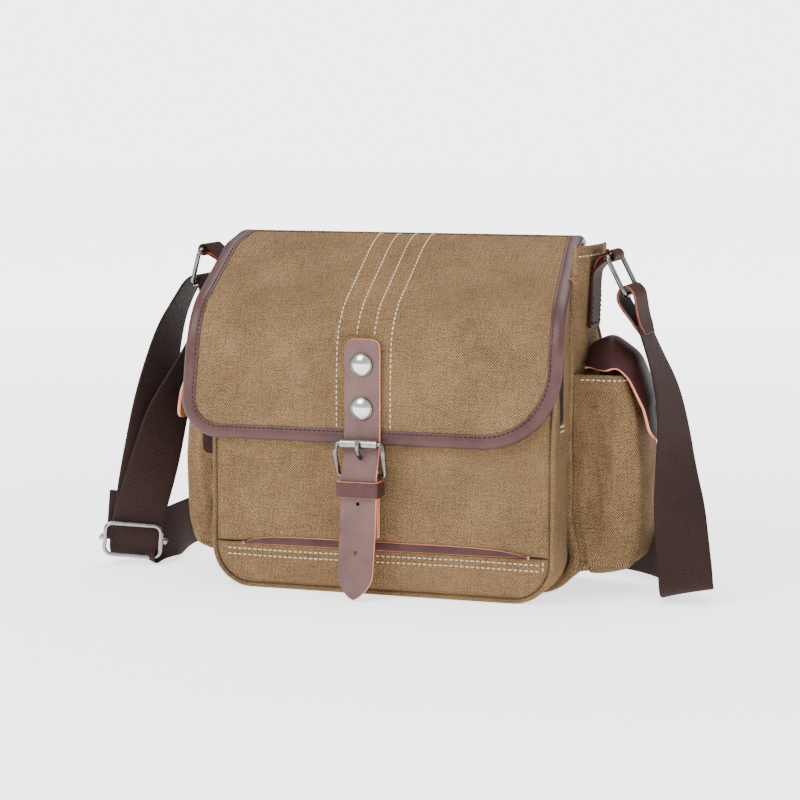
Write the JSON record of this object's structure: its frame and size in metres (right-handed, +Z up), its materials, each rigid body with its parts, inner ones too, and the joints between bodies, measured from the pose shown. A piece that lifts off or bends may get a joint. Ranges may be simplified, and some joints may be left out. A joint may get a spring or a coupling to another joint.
{
  "type": "messenger bag",
  "caption": "Small canvas messenger bag with leather-bound flap, buckled closure strap, side pockets and an adjustable shoulder strap lying on the floor.",
  "frame": {"origin": "on the floor under the middle of the bag's base", "axes": "+X to the bag's right as seen from its front, +Y to its back, +Z up"},
  "size_m": [0.4751, 0.2353, 0.2529],
  "materials": {
    "canvas": "woven canvas",
    "lining": "plain weave",
    "board": "matte",
    "binding_leather": "satin, fine grain",
    "strap_leather": "satin, fine grain",
    "keeper_leather": "satin",
    "pocket_leather": "semi-gloss",
    "webbing": "ribbed webbing",
    "nickel": "polished",
    "gunmetal": "satin dark nickel",
    "zip_coil": "matte"
  },
  "bodies": {
    "bag": {"main_gusset": "canvas", "back_panel": "canvas", "main_front_wall": "canvas", "front_seam_ridge": "canvas", "back_seam_ridge": "canvas", "front_lower_band": "canvas", "front_panel": "canvas", "front_gusset": "canvas", "front_top_strip": "canvas", "side_pocket_right": "canvas", "side_pocket_left": "canvas", "lining": "lining", "base_board": "board", "front_trim": "binding_leather", "ring_tab_right": "pocket_leather", "ring_tab_left": "pocket_leather", "strap_end": "pocket_leather", "shoulder_webbing": "webbing", "webbing_sewn_end": "webbing", "slider_frame": "nickel", "slider_bar": "nickel", "snap_base": "nickel", "pocket_stud_right": "nickel", "pocket_stud_left": "nickel", "zip_coil": "zip_coil"},
    "flap_top": {"flap_top_panel": "canvas", "flap_top_binding": "binding_leather"},
    "flap_front": {"flap_front_panel": "canvas", "flap_front_binding": "binding_leather", "closure_strap": "strap_leather", "closure_rivets": "nickel", "buckle_chape": "strap_leather", "snap_cup": "nickel", "buckle_frame": "gunmetal"},
    "buckle_roller": {"buckle_roller": "gunmetal"},
    "buckle_prong": {"buckle_prong": "gunmetal"},
    "strap_keeper": {"strap_keeper": "keeper_leather"},
    "zip_slider": {"zip_slider": "gunmetal"},
    "zip_pull": {"zip_link": "gunmetal", "zip_pull": "pocket_leather"},
    "pocket_flap_right": {"pocket_flap_right": "pocket_leather", "pocket_cap_right": "gunmetal"},
    "pocket_flap_left": {"pocket_flap_left": "pocket_leather", "pocket_cap_left": "gunmetal"},
    "ring_right": {"ring_right": "gunmetal"},
    "ring_left": {"ring_left": "gunmetal"}
  },
  "joints": [
    {"name": "flap_top_lift", "type": "hinge", "parent": "bag", "child": "flap_top", "pos_m": [0, 0.056, 0.2448], "axis": [-1, 0, 0], "range_deg": [0, 150]},
    {"name": "flap_front_fold", "type": "hinge", "parent": "flap_top", "child": "flap_front", "pos_m": [0, -0.0534, 0.1953], "axis": [-1, 0, 0], "range_deg": [0, 140]},
    {"name": "buckle_roller_spin", "type": "hinge", "parent": "flap_front", "child": "buckle_roller", "pos_m": [-0.01, -0.0696, 0.1106], "axis": [1, 0, 0], "continuous": true},
    {"name": "buckle_prong_tilt", "type": "hinge", "parent": "flap_front", "child": "buckle_prong", "pos_m": [-0.01, -0.0639, 0.087], "axis": [1, 0, 0], "range_deg": [0, 6]},
    {"name": "strap_keeper_slide", "type": "slide", "parent": "flap_front", "child": "strap_keeper", "axis": [0, 0, -1], "range_m": [0, 0.008]},
    {"name": "zip_slider_run", "type": "slide", "parent": "bag", "child": "zip_slider", "axis": [0, 0, 1], "range_m": [0, 0.06]},
    {"name": "zip_pull_swing", "type": "hinge", "parent": "zip_slider", "child": "zip_pull", "pos_m": [-0.1328, -0.0335, 0.1299], "axis": [0, 1, 0], "range_deg": [-6, 90]},
    {"name": "pocket_flap_right_lift", "type": "hinge", "parent": "bag", "child": "pocket_flap_right", "pos_m": [0.1351, 0.017, 0.172], "axis": [0, -1, 0], "range_deg": [0, 5]},
    {"name": "pocket_flap_left_lift", "type": "hinge", "parent": "bag", "child": "pocket_flap_left", "pos_m": [-0.1351, 0.017, 0.172], "axis": [0, 1, 0], "range_deg": [0, 3]},
    {"name": "ring_right_swing", "type": "hinge", "parent": "bag", "child": "ring_right", "pos_m": [0.151, 0.02, 0.241], "axis": [0, -1, 0], "range_deg": [-2.5, 3.5]},
    {"name": "ring_left_swing", "type": "hinge", "parent": "bag", "child": "ring_left", "pos_m": [-0.158, 0.02, 0.24], "axis": [0, 1, 0], "range_deg": [-1.5, 4.5]}
  ]
}
